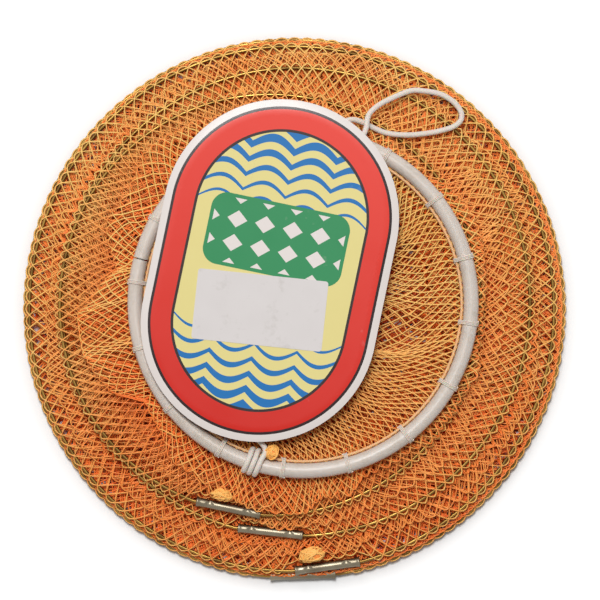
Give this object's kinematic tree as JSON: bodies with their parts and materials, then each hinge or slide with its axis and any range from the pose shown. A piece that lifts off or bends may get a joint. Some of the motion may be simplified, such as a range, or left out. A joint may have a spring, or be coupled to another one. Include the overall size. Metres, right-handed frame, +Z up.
{
  "type": "fishing keepnet",
  "caption": "Round collapsible keepnet, folded flat: orange knotless netting in tiers between wire hoops, a white tube mouth ring, a cord handle and a label card.",
  "frame": {"origin": "centre of the base hoop, on the surface that the folded net lies on", "axes": "+Z up through the mouth ring, the way that the tiers slide apart; +Y towards the round end of the card that leans to +X"},
  "size_m": [0.2399, 0.2407, 0.0289],
  "materials": {
    "wire": "yellow plated spring wire",
    "sleeve": "nickel plated, crimped",
    "netting": "orange knotless nylon netting",
    "ring_plastic": "white tube, slightly translucent",
    "plug_plastic": "plain",
    "twine": "white twine",
    "cord": "white braided cord",
    "card": "coated printed card",
    "sticker": "blank white paper"
  },
  "bodies": {
    "base": {"base_hoop": "wire", "base_hoop_ferrule": "sleeve", "net_bottom": "netting", "tier_4_net": "netting"},
    "hoop_3": {"hoop_3": "wire", "hoop_3_ferrule": "sleeve", "tier_3_net": "netting", "seam_knot_outer": "netting"},
    "hoop_2": {"hoop_2": "wire", "hoop_2_ferrule": "sleeve", "tier_2_net": "netting"},
    "hoop_1": {"hoop_1": "wire", "hoop_1_ferrule": "sleeve", "tier_1_net": "netting", "seam_knot_middle": "netting"},
    "mouth_ring": {"mouth_ring": "ring_plastic", "ring_plug": "plug_plastic", "head_line": "twine", "net_tie_01": "twine", "net_tie_02": "twine", "net_tie_03": "twine", "net_tie_04": "twine", "net_tie_05": "twine", "net_tie_06": "twine", "net_tie_07": "twine", "net_tie_08": "twine", "net_tie_09": "twine", "net_tie_10": "twine", "net_tie_11": "twine", "net_tie_12": "twine", "net_tie_13": "twine", "net_tie_14": "twine", "net_tie_15": "twine", "net_tie_16": "twine", "handle_cord": "cord", "handle_knot_near": "cord", "handle_knot_far": "cord", "seam_knot_inner": "netting"},
    "label": {"label_card": "card", "label_sticker": "sticker"}
  },
  "joints": [
    {"name": "tier_4_open", "type": "slide", "parent": "base", "child": "hoop_3", "axis": [0, 0, 1], "range_m": [0, 0.15], "deforming": ["tier_4_net"]},
    {"name": "tier_3_open", "type": "slide", "parent": "hoop_3", "child": "hoop_2", "axis": [0, 0, 1], "range_m": [0, 0.15], "deforming": ["tier_3_net"]},
    {"name": "tier_2_open", "type": "slide", "parent": "hoop_2", "child": "hoop_1", "axis": [0, 0, 1], "range_m": [0, 0.15], "deforming": ["tier_2_net"]},
    {"name": "tier_1_open", "type": "slide", "parent": "hoop_1", "child": "mouth_ring", "axis": [0, 0, 1], "range_m": [0, 0.15], "deforming": ["tier_1_net"]},
    {"name": "label_lift", "type": "slide", "parent": "mouth_ring", "child": "label", "axis": [0, 0, 1], "range_m": [0, 0.06]}
  ]
}
